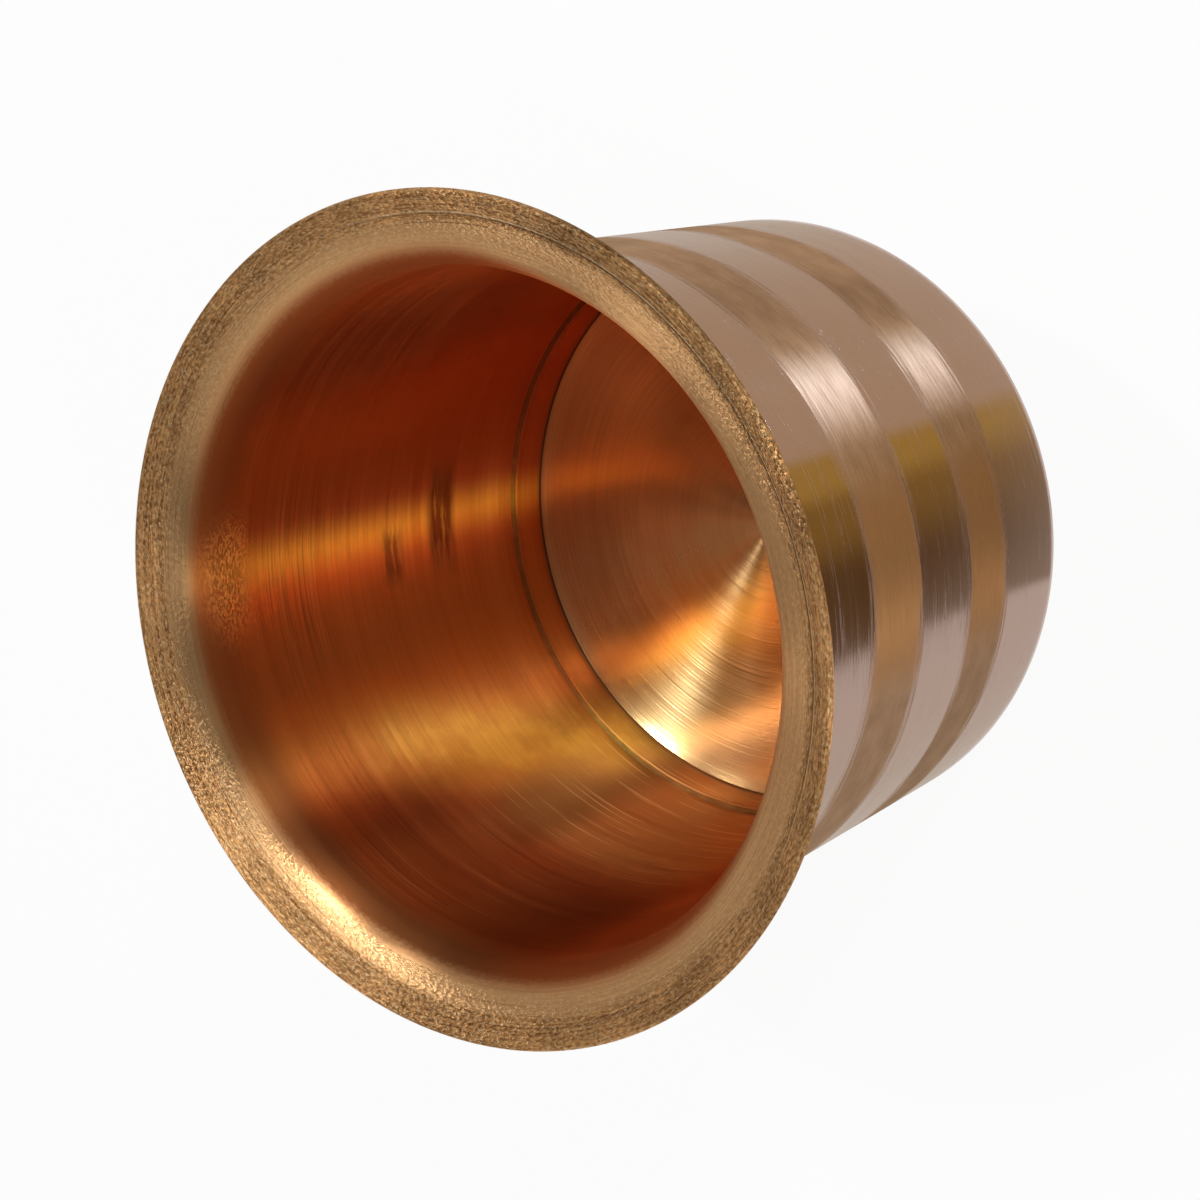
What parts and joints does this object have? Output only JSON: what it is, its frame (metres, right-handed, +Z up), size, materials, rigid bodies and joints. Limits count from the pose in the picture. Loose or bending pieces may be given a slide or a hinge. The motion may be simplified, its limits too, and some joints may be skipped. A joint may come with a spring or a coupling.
{
  "type": "panchpatra",
  "caption": "Open copper cup for ritual water, with a near-straight wall, a flared lip and a flat floor pan brazed into the foot of the wall.",
  "frame": {"origin": "centre of the base's underside, on the cup's axis", "axes": "+Z up the cup's axis towards the mouth; X and Y lie in the base and are equivalent"},
  "size_m": [0.076, 0.076, 0.056],
  "materials": {
    "banded_copper": "copper, polished and brushed bands outside, brushed inside",
    "turned_copper": "copper, turned in fine rings",
    "braze_metal": "darkened braze metal"
  },
  "bodies": {
    "root": {"cup_wall": "banded_copper", "floor_pan": "turned_copper", "braze_seam": "braze_metal"}
  },
  "joints": []
}
